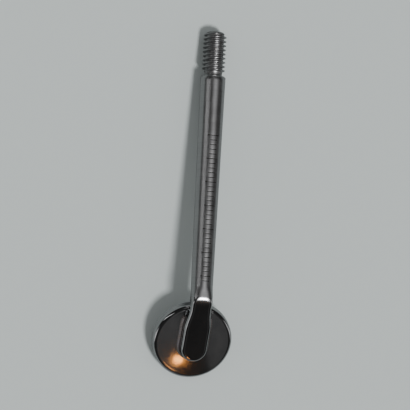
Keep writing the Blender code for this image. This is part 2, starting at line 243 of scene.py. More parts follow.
def turned(name, profile, place, closed=False, ripple=None, masks=None):
    """Turn (radius, height) points about the local Z axis.

    An open profile starts and ends on the axis; a closed one makes a ring. ripple gives how far
    the points of one row move outwards at each angle.
    """
    angles = np.arange(DISC_SEGMENTS) * 2.0 * math.pi / DISC_SEGMENTS
    rows = profile if closed else profile[1:-1]
    points = []
    for radius, height in rows:
        reach = np.full(DISC_SEGMENTS, radius)
        if ripple is not None:
            reach = reach + ripple(angles, radius, height)
        for angle, distance in zip(angles, reach):
            points.append((distance * math.cos(angle), distance * math.sin(angle), height))
    if closed:
        faces = ring_quads(len(rows), DISC_SEGMENTS, closed=True)
    else:
        faces = loft_faces(len(rows), DISC_SEGMENTS)
        points.append((0.0, 0.0, profile[0][1]))
        points.append((0.0, 0.0, profile[-1][1]))
    found = {}
    for mask_name, rule in (masks or {}).items():
        found[mask_name] = [rule(*point) for point in points]
    return add_mesh(name, points, faces, place, found)


def corner_arc(centre_r, centre_z, radius, start_degrees, end_degrees, steps):
    """Points of a round corner in a turned profile, as (radius, height) pairs."""
    points = []
    for step in range(steps + 1):
        angle = math.radians(mix(start_degrees, end_degrees, step / steps))
        points.append((centre_r + radius * math.cos(angle), centre_z + radius * math.sin(angle)))
    return points


# ---- stem

def stem_line(from_bend):
    """Centre and upward normal of the stem's axis at a signed distance from the bend's corner."""
    if from_bend >= BEND_TANGENT:
        return np.array((0.0, from_bend, 0.0)), np.array((0.0, 0.0, 1.0))
    if from_bend > -BEND_TANGENT:
        turned_by = BEND_ANGLE * (BEND_TANGENT - from_bend) / (2 * BEND_TANGENT)
        centre = np.array((0.0, BEND_TANGENT - BEND_RADIUS * math.sin(turned_by),
                           -BEND_RADIUS * (1.0 - math.cos(turned_by))))
        return centre, np.array((0.0, -math.sin(turned_by), math.cos(turned_by)))
    along = np.array((0.0, -math.cos(BEND_ANGLE), -math.sin(BEND_ANGLE)))
    return along * -from_bend, np.array((0.0, -math.sin(BEND_ANGLE), math.cos(BEND_ANGLE)))


def thread_radii(from_end, turns):
    """Radius of the right-hand thread round one ring."""
    phase = (from_end / THREAD_PITCH - turns) % 1.0
    flank = (1.0 - CREST_SHARE - ROOT_SHARE) / 2
    steepness = (1.0 - 2 * FLANK_EASE) / flank
    falling = smooth_step((phase - CREST_SHARE) * steepness + FLANK_EASE)
    rising = smooth_step((1.0 - phase) * steepness + FLANK_EASE)
    depth = np.minimum(falling, rising)
    depth = np.clip((depth - FLANK_TRIM) / (1.0 - 2 * FLANK_TRIM), 0.0, 1.0)
    radii = mix(THREAD_OUTER_RADIUS, THREAD_ROOT_RADIUS, depth)
    runout = smooth_step((THREAD_LENGTH - from_end) / THREAD_RUNOUT)
    radii = mix(THREAD_ROOT_RADIUS, radii, runout)
    end_limit = mix(THREAD_END_RADIUS, THREAD_OUTER_RADIUS, from_end / THREAD_CHAMFER)
    return np.minimum(radii, end_limit)


def shank_radius(from_bend):
    shank_length = STEM_LENGTH - THREAD_LENGTH - GROOVE_LENGTH
    return mix(NECK_RADIUS, SHOULDER_RADIUS, max(from_bend, 0.0) / shank_length)


def tongue_half_width(past_bend):
    flare = smooth_step(past_bend / TONGUE_FLARE_LENGTH)
    half_width = mix(NECK_RADIUS, TONGUE_WIDTH / 2, flare)
    beyond = max(past_bend - TONGUE_TIP_START, 0.0) / (TONGUE_WIDTH / 2)
    return half_width * math.sqrt(max(1.0 - beyond * beyond, 0.0))


def tongue_height(across, past_bend):
    """Half thickness of the tongue at places across it: flat, with an evenly rounded edge."""
    if past_bend > TONGUE_TIP_START:
        inside = TONGUE_WIDTH / 2 - np.hypot(across, past_bend - TONGUE_TIP_START)
    else:
        inside = tongue_half_width(past_bend) - np.abs(across)
    share = 1.0 - np.clip(inside / TONGUE_EDGE_ROUND, 0.0, 1.0)
    fall = np.clip(1.0 - share ** TONGUE_EDGE_POWER, 0.0, 1.0)
    return TONGUE_THICKNESS / 2 * fall ** (1.0 / TONGUE_EDGE_POWER)


def mark_depth(from_end, angles):
    """Share of the marking's full depth at one ring, for each place round it."""
    number = round((from_end - MARK_START) / MARK_PITCH)
    if number < 0 or number >= MARK_COUNT:
        return np.zeros_like(angles)
    offset = abs(from_end - MARK_START - number * MARK_PITCH)
    half_arc = MARK_LONG_HALF_ARC if number % 5 == 0 else MARK_HALF_ARC
    across = smooth_step((MARK_HALF_WIDTH - offset) / MARK_RAMP + 0.5)
    round_it = smooth_step((half_arc - np.abs(angles - MARK_CENTRE_ANGLE)) / MARK_ARC_RAMP + 0.5)
    return across * round_it


def stem_stations():
    """Distances from the end at which the thread and the shank get a ring."""
    thread_step = THREAD_PITCH / THREAD_STEPS_PER_TURN
    thread = list(np.arange(0.0, THREAD_LENGTH + thread_step / 2, thread_step))
    shank_start = THREAD_LENGTH + GROOVE_LENGTH + SHOULDER_CHAMFER
    shank = [shank_start]
    edge = MARK_HALF_WIDTH + MARK_RAMP
    for number in range(MARK_COUNT):
        middle = MARK_START + number * MARK_PITCH
        for share in MARK_STATION_SHARES:
            shank.append(middle + share * edge)
    shank += list(np.arange(shank_start + PLAIN_STATION_START, MARK_START - PLAIN_STATION_END,
                            PLAIN_STATION_STEP))
    shank += list(np.arange(MARK_START + MARK_COUNT * MARK_PITCH,
                            STEM_LENGTH - TOP_FLATTENING_START, NECK_STATION_STEP))
    return thread, sorted(shank)


def rounded_lower(first, second, blend):
    """The lower of two heights, with the corner between them rounded."""
    overlap = np.maximum(blend - np.abs(first - second), 0.0)
    return np.minimum(first, second) - overlap ** 2 / (4.0 * blend)


def blended_section(from_bend, angles):
    """Section from the round shank through the bend to the flat tongue, as across and up.

    The tongue's flat top runs on into the shank until it leaves it, along one fold.
    """
    past = -from_bend
    share = float(smooth_step((FLATTENING_START - from_bend) / (FLATTENING_START + BEND_TANGENT)))
    half_width = shank_radius(from_bend) if past < 0.0 else tongue_half_width(past)
    power = 2.0 / mix(2.0, TONGUE_SQUARENESS, share)
    across = signed_power(np.cos(angles), power) * half_width
    height = signed_power(np.sin(angles), power)
    under = height * mix(shank_radius(from_bend), TONGUE_THICKNESS / 2, share)
    centre, up = stem_line(from_bend)
    tongue_up = stem_line(-TONGUE_LENGTH)[1]
    flat_top = (TONGUE_THICKNESS / 2 - centre @ tongue_up) / (up @ tongue_up)
    tongue = tongue_height(across, past)
    face = flat_top - TONGUE_THICKNESS / 2 + tongue
    flattened = float(smooth_step((TOP_FLATTENING_START - from_bend) / TOP_FLATTENING_LENGTH))
    top_power = mix(2.0, TOP_SQUARENESS, flattened)
    inside = np.clip(1.0 - np.abs(across / half_width) ** top_power, 0.0, 1.0)
    round_top = shank_radius(from_bend) * inside ** (1.0 / top_power)
    over = np.maximum(rounded_lower(round_top, face, FLAT_EDGE_BLEND), 0.0)
    upward = np.where(height > 0.0, over, under)
    if past > BEND_TANGENT:
        pressed = float(smooth_step((past - BEND_TANGENT) / TONGUE_PRESS_LENGTH))
        upward = mix(upward, np.sign(np.sin(angles)) * tongue, pressed)
    return across, upward


def make_stem():
    """One turned rod: thread, relief groove, shoulder, tapered shank, bend and pressed tongue."""
    angles = np.arange(STEM_SEGMENTS) * 2.0 * math.pi / STEM_SEGMENTS
    turns = angles / (2.0 * math.pi)
    rings = []
    straight = []
    ways = []
    masks = {"thread_root": [], "marking": [], "turning": [], "pressed": [], "heat": []}

    def put(from_bend, across, upward, **values):
        """Add a ring, from its points' places across the stem's axis and up from it."""
        centre, up = stem_line(from_bend)
        rings.append(centre + np.outer(across, (1.0, 0.0, 0.0)) + np.outer(upward, up))
        straight.append(np.column_stack((across, np.full(STEM_SEGMENTS, from_bend), upward)))
        along = np.cross(up, (1.0, 0.0, 0.0))
        ways.append(np.broadcast_to(along, (STEM_SEGMENTS, 3)))
        for name in masks:
            masks[name].append(np.broadcast_to(values.get(name, 0.0), angles.shape))

    def put_round(from_end, radii, **values):
        put(STEM_LENGTH - from_end, radii * np.cos(angles), radii * np.sin(angles),
            turning=1.0, **values)

    # End face, from a shallow centre dimple outwards.
    for radius, depth in END_FACE_RINGS:
        put_round(depth * MM, np.full(STEM_SEGMENTS, radius * MM))

    thread, shank = stem_stations()
    for from_end in thread:
        radii = thread_radii(from_end + THREAD_START, turns)
        root = (THREAD_OUTER_RADIUS - radii) / (THREAD_OUTER_RADIUS - THREAD_ROOT_RADIUS)
        put_round(from_end + THREAD_START, radii, thread_root=np.clip(root, 0.0, 1.0))

    # Relief groove with small fillets, then the shoulder and its chamfer.
    shoulder = THREAD_LENGTH + GROOVE_LENGTH
    # The groove and the shoulder's face get a share of the thread roots' darkening: residue and
    # painted shade.
    for offset, fillet in GROOVE_RINGS:
        put_round(THREAD_LENGTH + offset * MM,
                  np.full(STEM_SEGMENTS, GROOVE_RADIUS + fillet * MM), thread_root=0.8)
    for radius in SHOULDER_FACE_RADII:
        put_round(shoulder, np.full(STEM_SEGMENTS, radius * MM), thread_root=0.3)
    for share in SHOULDER_CHAMFER_SHARES:
        bulge = SHOULDER_CHAMFER * share
        put_round(shoulder + bulge + SHOULDER_EDGE,
                  np.full(STEM_SEGMENTS, SHOULDER_RADIUS - SHOULDER_CHAMFER + bulge))

    for from_end in shank:
        depth = mark_depth(from_end, angles)
        radii = shank_radius(STEM_LENGTH - from_end) - MARK_DEPTH * depth
        put_round(from_end, radii, marking=depth)

    bend = list(np.linspace(TOP_FLATTENING_START, BEND_TANGENT, NECK_RINGS)[1:])
    bend += list(np.linspace(BEND_TANGENT, -BEND_TANGENT, BEND_RINGS)[1:])
    bend += list(-np.linspace(BEND_TANGENT, TONGUE_TIP_START, TONGUE_RINGS)[1:])
    tip_angles = np.linspace(0.0, TONGUE_TIP_REACH * math.pi / 2, TIP_RINGS)[1:]
    bend += list(-(TONGUE_TIP_START + TONGUE_WIDTH / 2 * np.sin(tip_angles)))
    for from_bend in bend:
        across, upward = blended_section(from_bend, angles)
        flattened = float(smooth_step((FLATTENING_START - from_bend) / FLATTENING_START))
        edge = np.abs(across) / (TONGUE_WIDTH / 2)
        beyond = np.hypot(across, max(-from_bend - TONGUE_TIP_START, 0.0)) / (TONGUE_WIDTH / 2)
        near_weld = float(smooth_step((-from_bend - TONGUE_HEAT_START) / TONGUE_HEAT_RAMP))
        outermost = np.maximum(edge, beyond)
        heat = smooth_step((outermost - TONGUE_HEAT_FROM) / (1.0 - TONGUE_HEAT_FROM)) * near_weld
        put(from_bend, across, upward, turning=1.0 - flattened, pressed=flattened, heat=heat)

    start = stem_line(STEM_LENGTH - DIMPLE_MIDDLE_DEPTH)[0]
    end = stem_line(-TONGUE_LENGTH)[0]
    points = np.concatenate((*rings, [start, end]))
    straight = np.concatenate((*straight, [start, (0.0, -TONGUE_LENGTH, 0.0)]))
    found = {}
    for name, rows in masks.items():
        found[name] = np.concatenate((np.concatenate(rows), [rows[0][0], rows[-1][0]]))
    ways = np.concatenate((*ways, ways[0][:1], ways[-1][-1:]))
    faces = loft_faces(len(rings), STEM_SEGMENTS)
    return add_mesh("stem", points, faces, STEM_FRAME, found, ways, straight)


# ---- weld

WELD_START = 1.4 * MM
WELD_WIDTH = 0.3 * MM
WELD_HEIGHT = 0.3 * MM
WELD_FOOT = 0.05 * MM
WELD_END_LENGTH = 0.3 * MM
WELD_END_SIZE = 0.02
WELD_PULSE = 0.2 * MM
WELD_PULSE_RISE = 0.78
WELD_CRESCENT = 0.55
WELD_PULSE_DRIFT = 6.0
WELD_RIPPLE = 0.035
WELD_FLATNESS = 1.35
WELD_MEAN_SCALE = 0.95
WELD_WAVES = ((0.04, 1.7 * MM, 0.0), (0.03, 0.61 * MM, 1.3))
WELD_INNER_FOOT = 0.02 * MM
WELD_INNER_TOP = 0.06 * MM
WELD_INNER_TOP_SHARE = 0.9
WELD_OUTLINE_STEPS = 60
WELD_STATIONS = 420
WELD_SECTION_STEPS = 12


def tongue_outline():
    """Evenly spaced points along the tongue's edge in plan, in the mirror frame."""
    side = []
    for past in np.linspace(WELD_START, TONGUE_TIP_START, WELD_OUTLINE_STEPS):
        side.append((tongue_half_width(past), BEND_TO_CUP_CENTRE - past))
    tip_y = BEND_TO_CUP_CENTRE - TONGUE_TIP_START
    for angle in np.linspace(0.0, math.pi / 2, WELD_OUTLINE_STEPS)[1:]:
        across = TONGUE_WIDTH / 2 * math.cos(angle)
        side.append((across, tip_y - TONGUE_WIDTH / 2 * math.sin(angle)))
    other = [(-x, y) for x, y in reversed(side[:-1])]
    outline = np.array(side + other)
    lengths = np.hypot(*np.diff(outline, axis=0).T)
    along = np.concatenate(([0.0], np.cumsum(lengths)))
    even = np.linspace(0.0, along[-1], WELD_STATIONS)
    points = np.column_stack([np.interp(even, along, outline[:, axis]) for axis in (0, 1)])
    return points, even


def pulse_wave(value):
    """One ripple of a row of overlapping weld spots: a slow rise and a quick, round fall."""
    part = value % 1.0
    rise = smooth_step(part / WELD_PULSE_RISE)
    fall = smooth_step((1.0 - part) / (1.0 - WELD_PULSE_RISE))
    return np.where(part < WELD_PULSE_RISE, rise, fall)


def back_height(x, y):
    """Height of the cup's slightly domed back in the mirror frame."""
    return -(x * x + y * y) / (2 * CUP_DOME_RADIUS)


def make_weld():
    """Fillet of overlapping weld spots along both sides of the tongue and round its tip."""
    outline, along = tongue_outline()
    direction = np.gradient(outline, axis=0)
    direction /= np.hypot(*direction.T)[:, None]
    outward = np.column_stack((-direction[:, 1], direction[:, 0]))
    end_distance = np.minimum(along, along[-1] - along)
    before_end = 1.0 - np.clip(end_distance / WELD_END_LENGTH, 0.0, 1.0)
    end_size = np.sqrt(np.clip(1.0 - before_end ** 2, WELD_END_SIZE, 1.0))
    wander = sum(share * np.sin(along / wave + shift) for share, wave, shift in WELD_WAVES)
    points = []
    ripples = []
    for place, out, distance, size, drift in zip(outline, outward, along, end_size, wander):
        section = [(-WELD_INNER_FOOT, -WELD_FOOT)]
        for step in range(WELD_SECTION_STEPS + 1):
            angle = math.pi / 2 * step / WELD_SECTION_STEPS
            crescent = WELD_CRESCENT * math.sin(2 * angle)
            phase = distance / WELD_PULSE + WELD_PULSE_DRIFT * drift + crescent
            ripple = float(pulse_wave(phase))
            scale = size * (WELD_MEAN_SCALE + drift) * (1.0 - WELD_RIPPLE * (1.0 - ripple))
            section.append((WELD_WIDTH * math.cos(angle) ** WELD_FLATNESS * scale,
                            WELD_HEIGHT * math.sin(angle) ** WELD_FLATNESS * scale))
            if step == 0:
                section.insert(1, (WELD_WIDTH * scale, -WELD_FOOT))
                ripples.extend((ripple, ripple))
            ripples.append(ripple)
        section.append((-WELD_INNER_TOP, WELD_HEIGHT * WELD_INNER_TOP_SHARE * size))
        ripples.append(0.5)
        for outside, height in section:
            spot = place + out * outside
            sunk = back_height(*spot) * (1.0 - max(height, 0.0) / WELD_HEIGHT)
            points.append((spot[0], spot[1], height + sunk))
    count = WELD_SECTION_STEPS + 4
    faces = ring_quads(WELD_STATIONS, count)
    faces.append(tuple(range(count)))
    last = (WELD_STATIONS - 1) * count
    faces.append(tuple(range(last + count - 1, last - 1, -1)))
    return add_mesh("weld", points, faces, MIRROR_FRAME, {"ripple": ripples})


# ---- mirror cup and what it holds

GLASS_RADIUS = 4.0 * MM
GLASS_THICKNESS = 0.9 * MM
GLASS_BEVEL = 0.15 * MM
GLASS_BACK_CHAMFER = 0.12 * MM
PIECE_GAP = 0.02 * MM
COATING_RADIUS = 3.78 * MM
COATING_THICKNESS = 0.03 * MM
CEMENT_THICKNESS = 0.08 * MM
SEAL_WIDTH = 0.08 * MM
SEAL_THICKNESS = 0.04 * MM
SEAL_EDGE_SHARE = 0.35
CUP_SHEET = 0.22 * MM
CUP_CLEARANCE = 0.04 * MM
CUP_INNER_RADIUS = GLASS_RADIUS + CUP_CLEARANCE
CUP_OUTER_RADIUS = CUP_INNER_RADIUS + CUP_SHEET
CUP_BACK_CORNER = 0.45 * MM
CUP_BACK_CORNER_DEGREES = 86.0
CUP_BACK_CORNER_DROP = 0.98
CUP_BACK_RINGS = 46
CUP_LIP = 0.13 * MM
CUP_LIP_PROUD = 0.04 * MM
CUP_INNER_LIP = 0.035 * MM
CUP_SIDE_SHARES = (0.25, 0.5, 0.75)
CUP_SIDE_END = 0.08 * MM
CUP_NECK_HEIGHT = 0.42 * MM
CUP_DOME_RADIUS = 48.0 * MM
GLASS_EDGE_SOFTNESS = 0.015 * MM
BURNISHING_FLATS = 0.004 * MM
COATING_EDGE_WAVES = 0.004 * MM
SEAL_EDGE_WAVES = 0.003 * MM
CUP_HEAT_START = 0.7 * MM
CUP_HEAT_RAMP = 0.8 * MM
CUP_HEAT_REACH = 0.95 * MM
CUP_HEAT_DEPTH = 0.6 * MM

# Shallow neck left by the burnishing roller, in millimetres: height from its place, and depth.
CUP_NECK_RINGS = ((0.05, 0.004), (0.0, 0.014), (-0.06, 0.014), (-0.11, 0.004))

GLASS_BACK_Z = -(CUP_SHEET + PIECE_GAP + CEMENT_THICKNESS + PIECE_GAP)
GLASS_FRONT_Z = GLASS_BACK_Z - GLASS_THICKNESS
COATING_FRONT_Z = GLASS_FRONT_Z - PIECE_GAP - COATING_THICKNESS
CUP_FRONT_Z = COATING_FRONT_Z - CUP_LIP_PROUD
RIM_INNER_RADIUS = COATING_RADIUS + PIECE_GAP + SEAL_WIDTH + PIECE_GAP


def distance_from_tongue(x, y):
    """Distance in plan from the tongue's outline, in the mirror frame, outside it."""
    tip_y = BEND_TO_CUP_CENTRE - TONGUE_TIP_START
    past = BEND_TO_CUP_CENTRE - y
    if y < tip_y:
        return math.hypot(x, y - tip_y) - TONGUE_WIDTH / 2
    return abs(x) - tongue_half_width(past)


def heat_near_weld(x, y, z):
    """How much the weld's heat reached a point of the cup, from 0 to 1."""
    if z < -CUP_HEAT_DEPTH:
        return 0.0
    distance = distance_from_tongue(x, y) - WELD_WIDTH
    started = smooth_step((BEND_TO_CUP_CENTRE - y - CUP_HEAT_START) / CUP_HEAT_RAMP)
    return float(smooth_step(1.0 - distance / CUP_HEAT_REACH) * started)


def make_cup():
    """Drawn cup: slightly domed back, round back edge, and a lip rolled in over the glass."""
    outer = CUP_OUTER_RADIUS
    sag = (outer - CUP_BACK_CORNER) ** 2 / (2 * CUP_DOME_RADIUS)
    profile = [(0.0, 0.0)]
    for step in range(1, CUP_BACK_RINGS):
        radius = (outer - CUP_BACK_CORNER) * step / CUP_BACK_RINGS
        profile.append((radius, back_height(radius, 0.0)))
    corner_z = -CUP_BACK_CORNER - sag * CUP_BACK_CORNER_DROP
    profile += corner_arc(outer - CUP_BACK_CORNER, corner_z, CUP_BACK_CORNER,
                          CUP_BACK_CORNER_DEGREES, 0.0, 12)
    neck_z = CUP_FRONT_Z + CUP_NECK_HEIGHT
    for share in CUP_SIDE_SHARES:
        profile.append((outer, mix(-CUP_BACK_CORNER - sag, neck_z + CUP_SIDE_END, share)))
    for offset, depth in CUP_NECK_RINGS:
        profile.append((outer - depth * MM, neck_z + offset * MM))
    profile += corner_arc(outer - CUP_LIP, CUP_FRONT_Z + CUP_LIP, CUP_LIP, 0.0, -90.0, 10)
    profile += corner_arc(RIM_INNER_RADIUS + CUP_INNER_LIP, CUP_FRONT_Z + CUP_INNER_LIP,
                          CUP_INNER_LIP, -90.0, -180.0, 5)
    profile.append((RIM_INNER_RADIUS, GLASS_FRONT_Z - PIECE_GAP))
    profile.append((CUP_INNER_RADIUS, GLASS_FRONT_Z + GLASS_BEVEL - PIECE_GAP))
    inner_corner = CUP_BACK_CORNER - CUP_SHEET
    profile += corner_arc(CUP_INNER_RADIUS - inner_corner, -CUP_SHEET - inner_corner,
                          inner_corner, 0.0, 90.0, 6)
    profile.append((0.0, -CUP_SHEET))

    def ripple(angles, radius, height):
        """The rolled lip isn't quite round: it keeps faint flats from the burnishing roller."""
        if height > neck_z or radius < RIM_INNER_RADIUS:
            return 0.0 * angles
        return BURNISHING_FLATS * (np.sin(17 * angles) * np.sin(5 * angles + 0.7) - 1.0)

    return turned("cup", profile, MIRROR_FRAME, ripple=ripple, masks={"heat": heat_near_weld})


def make_glass():
    """Ground glass disc with a bevelled front edge and a ground back edge."""
    soft = GLASS_EDGE_SOFTNESS
    profile = [
        (0.0, GLASS_BACK_Z),
        (0.5 * GLASS_RADIUS, GLASS_BACK_Z),
        (GLASS_RADIUS - GLASS_BACK_CHAMFER - soft, GLASS_BACK_Z),
        (GLASS_RADIUS - GLASS_BACK_CHAMFER + soft, GLASS_BACK_Z - soft),
        (GLASS_RADIUS - soft, GLASS_BACK_Z - GLASS_BACK_CHAMFER + soft),
        (GLASS_RADIUS, GLASS_BACK_Z - GLASS_BACK_CHAMFER - soft),
        (GLASS_RADIUS, GLASS_FRONT_Z + GLASS_BEVEL + soft),
        (GLASS_RADIUS - soft, GLASS_FRONT_Z + GLASS_BEVEL - soft),
        (GLASS_RADIUS - GLASS_BEVEL + soft, GLASS_FRONT_Z + soft),
        (GLASS_RADIUS - GLASS_BEVEL - soft, GLASS_FRONT_Z),
        (0.5 * GLASS_RADIUS, GLASS_FRONT_Z),
        (0.0, GLASS_FRONT_Z),
    ]
    return turned("glass", profile, MIRROR_FRAME)


def make_coating():
    """Reflecting metal layer on the front of the glass, with a faintly feathered edge."""
    top = GLASS_FRONT_Z - PIECE_GAP
    half = COATING_THICKNESS / 2

    def ripple(angles, radius, height):
        if radius < 0.99 * COATING_RADIUS - half:
            return 0.0 * angles
        return COATING_EDGE_WAVES * (np.sin(23 * angles + 0.4) * np.sin(9 * angles) - 1.0)

    profile = [(0.0, top), (0.4 * COATING_RADIUS, top), (0.8 * COATING_RADIUS, top)]
    profile += corner_arc(COATING_RADIUS - half, top - half, half, 90.0, -90.0, 8)
    profile += [(0.8 * COATING_RADIUS, COATING_FRONT_Z), (0.4 * COATING_RADIUS, COATING_FRONT_Z)]
    profile.append((0.0, COATING_FRONT_Z))
    return turned("mirror_coating", profile, MIRROR_FRAME, ripple=ripple)


def make_seal():
    """Narrow bead of sealant between the lip and the edge of the reflecting layer."""
    top = GLASS_FRONT_Z - PIECE_GAP
    middle = COATING_RADIUS + PIECE_GAP + SEAL_WIDTH / 2
    half = SEAL_WIDTH / 2
    profile = [(middle - half, top)]
    for step in range(9):
        angle = math.pi * step / 8
        share = mix(SEAL_EDGE_SHARE, 1.0, math.sin(angle))
        profile.append((middle - half * math.cos(angle), top - SEAL_THICKNESS * share))
    profile.append((middle + half, top))

    def ripple(angles, radius, height):
        inward = 1.0 if radius < middle else -1.0
        waves = 1.0 + np.sin(31 * angles) * np.sin(7 * angles + 0.5)
        return SEAL_EDGE_WAVES * inward * waves

    return turned("edge_sealant", profile, MIRROR_FRAME, closed=True, ripple=ripple)


# ---- material helpers

SCRATCH_ALONG = 0.014


class Paint:
    """One material's node tree, with a short call for each kind of node that is used."""

    def __init__(self, name, colour, metallic, roughness):
        self.material = bpy.data.materials.new(name)
        self.material.use_nodes = True
        self.tree = self.material.node_tree
        self.shader = self.tree.nodes["Principled BSDF"]
        self.shader.inputs["Base Color"].default_value = (*colour, 1.0)
        self.shader.inputs["Metallic"].default_value = metallic
        self.shader.inputs["Roughness"].default_value = roughness
        self.place = self.vector("local_place")

    def node(self, kind, **settings):
        made = self.tree.nodes.new(kind)
        for name, value in settings.items():
            setattr(made, name, value)
        return made

    def put(self, socket, value):
        """Link a socket to another's output, or set its own value."""
        if isinstance(value, bpy.types.NodeSocket):
            self.tree.links.new(value, socket)
        else:
            socket.default_value = value

    def math(self, operation, first, second=0.0, clamp=False):
        made = self.node("ShaderNodeMath", operation=operation, use_clamp=clamp)
        self.put(made.inputs[0], first)
        self.put(made.inputs[1], second)
        return made.outputs[0]

    def times(self, first, second, clamp=False):
        return self.math("MULTIPLY", first, second, clamp)

    def plus(self, base, value, share, clamp=False):
        """A value with a share of another one added."""
        return self.math("ADD", base, self.times(value, share), clamp)

    def mask(self, name):
        return self.node("ShaderNodeAttribute", attribute_name=name).outputs["Fac"]

    def vector(self, name):
        return self.node("ShaderNodeAttribute", attribute_name=name).outputs["Vector"]

    def stretch(self, scale, turn=(0.0, 0.0, 0.0), vector=None):
        made = self.node("ShaderNodeMapping")
        self.put(made.inputs["Vector"], vector or self.place)
        made.inputs["Scale"].default_value = scale
        made.inputs["Rotation"].default_value = turn
        return made.outputs[0]

    def noise(self, scale, detail=3.0, roughness=0.55, vector=None, distortion=0.0):
        """Noise with so many cells to a metre, or to a unit of another vector."""
        made = self.node("ShaderNodeTexNoise")
        self.put(made.inputs["Vector"], vector or self.place)
        made.inputs["Scale"].default_value = scale
        made.inputs["Detail"].default_value = detail
        made.inputs["Roughness"].default_value = roughness
        made.inputs["Distortion"].default_value = distortion
        return made.outputs["Fac"]

    def range(self, value, low, high, to_low=0.0, to_high=1.0):
        made = self.node("ShaderNodeMapRange", interpolation_type="SMOOTHSTEP")
        self.put(made.inputs["Value"], value)
        for name, number in (("From Min", low), ("From Max", high),
                             ("To Min", to_low), ("To Max", to_high)):
            made.inputs[name].default_value = number
        return made.outputs[0]

    def mix_ends(self, data_type, socket_type, share, ends):
        made = self.node("ShaderNodeMix", data_type=data_type)
        sockets = [socket for socket in made.inputs if socket.type == socket_type][-2:]
        for socket, value in zip((made.inputs[0], *sockets), (share, *ends)):
            self.put(socket, value)
        return [socket for socket in made.outputs if socket.type == socket_type][0]

    def mix_value(self, share, first, second):
        return self.mix_ends("FLOAT", "VALUE", share, (first, second))

    def mix_colour(self, share, *ends):
        ends = [end if isinstance(end, bpy.types.NodeSocket) else (*end, 1.0) for end in ends]
        return self.mix_ends("RGBA", "RGBA", share, ends)

    def ramp(self, value, stops):
        """Colour ramp from (position, colour) pairs."""
        made = self.node("ShaderNodeValToRGB")
        band = made.color_ramp
        for index, (position, colour) in enumerate(stops):
            element = band.elements[index] if index < 2 else band.elements.new(position)
            element.position = position
            element.color = (*colour, 1.0)
        self.put(made.inputs[0], value)
        return made.outputs["Color"]

    def bump(self, height, distance, strength):
        made = self.node("ShaderNodeBump")
        made.inputs["Strength"].default_value = strength
        made.inputs["Distance"].default_value = distance
        self.put(made.inputs["Height"], height)
        return made.outputs[0]

    def scratches(self, density, turns, upright=1.0):
        """Thin, straight scratches in a few directions, from 0 to 1."""
        found = None
        for index, turn in enumerate(turns):
            turned_place = self.stretch((1.0, 1.0, 1.0), (0.0, 0.0, turn))
            stretched = self.stretch((density, density * SCRATCH_ALONG, density * upright),
                                     vector=turned_place)
            line = self.noise(1.0 + 0.13 * index, detail=0.0, vector=stretched, distortion=0.15)
            line = self.range(line, 0.76, 0.86)
            found = line if found is None else self.math("MAXIMUM", found, line)
        return found

    def finish(self, colour=None, roughness=None, normal=None):
        for name, value in (("Base Color", colour), ("Roughness", roughness), ("Normal", normal)):
            if value is not None:
                self.put(self.shader.inputs[name], value)
        return self.material


HEAT_STOPS = (
    (0.0, (0.60, 0.60, 0.61)),
    (0.35, (0.62, 0.56, 0.44)),
    (0.6, (0.55, 0.40, 0.27)),
    (0.8, (0.40, 0.27, 0.30)),
    (1.0, (0.33, 0.30, 0.36)),
)


# ---- materials

def stem_steel():
    """Turned stainless steel: fine rings on the shank, a pressed and polished tongue."""
    paint = Paint("turned_steel", (0.56, 0.56, 0.57), 1.0, 0.26)
    turning = paint.mask("turning")
    pressed = paint.mask("pressed")
    root = paint.mask("thread_root")
    marking = paint.mask("marking")
    heat = paint.mask("heat")

    clouds = paint.noise(700.0, detail=4.0)
    grime_and_shade_noise = paint.noise(2600.0, detail=5.0, roughness=0.6)
    rings = paint.noise(1.0, detail=2.0, vector=paint.stretch((350.0, 42000.0, 350.0)))
    wide_rings = paint.noise(1.0, detail=1.0, vector=paint.stretch((120.0, 5200.0, 120.0)))
    lengthwise = paint.noise(1.0, detail=2.0, vector=paint.stretch((30000.0, 700.0, 6000.0)))
    scratches = paint.scratches(30000.0, (0.0, 0.03, -0.05))

    tone = paint.range(clouds, 0.3, 0.7)
    colour = paint.mix_colour(tone, (0.52, 0.52, 0.525), (0.57, 0.57, 0.575))
    ring_tone = paint.times(paint.range(wide_rings, 0.45, 0.75), turning)
    colour = paint.mix_colour(paint.times(ring_tone, 0.35), colour, (0.42, 0.42, 0.43))
    # Thread roots, the relief groove and the shoulder's face are darker: partly machining residue,
    # partly painted shade in the recesses.
    root_residue_and_shade = paint.times(paint.range(root, 0.25, 1.0), paint.range(grime_and_shade_noise, 0.2, 0.75))
    colour = paint.mix_colour(root_residue_and_shade, colour, (0.17, 0.165, 0.165))
    tinted = paint.ramp(heat, HEAT_STOPS)
    colour = paint.mix_colour(paint.times(heat, 0.75), colour, tinted)
    dark = paint.times(marking, paint.range(grime_and_shade_noise, 0.1, 0.6, 0.75, 1.0))
    colour = paint.mix_colour(dark, colour, (0.04, 0.039, 0.038))

    # The turned part keeps a roughness of 0.28 or more: at 0.26 in places, the denoised picture
    # has speckles.
    roughness = paint.range(clouds, 0.25, 0.75, 0.28, 0.33)
    roughness = paint.plus(roughness, scratches, 0.10)
    polished = paint.range(clouds, 0.25, 0.75, 0.04, 0.06)
    polished = paint.plus(polished, scratches, 0.05)
    roughness = paint.mix_value(pressed, roughness, polished)
    roughness = paint.plus(roughness, root_residue_and_shade, 0.25)
    roughness = paint.plus(roughness, marking, 0.3, clamp=True)

    turned_height = paint.times(rings, turning)
    pressed_height = paint.times(lengthwise, pressed)
    height = paint.plus(turned_height, pressed_height, 0.03)
    scratched = paint.times(scratches, paint.mix_value(pressed, 0.25, 0.03))
    height = paint.math("SUBTRACT", height, scratched)
    normal = paint.bump(height, 0.0008 * MM, 0.6)
    paint.shader.inputs["Anisotropic"].default_value = 0.3
    paint.put(paint.shader.inputs["Tangent"], paint.vector("highlight_way"))
    return paint.finish(colour, roughness, normal)


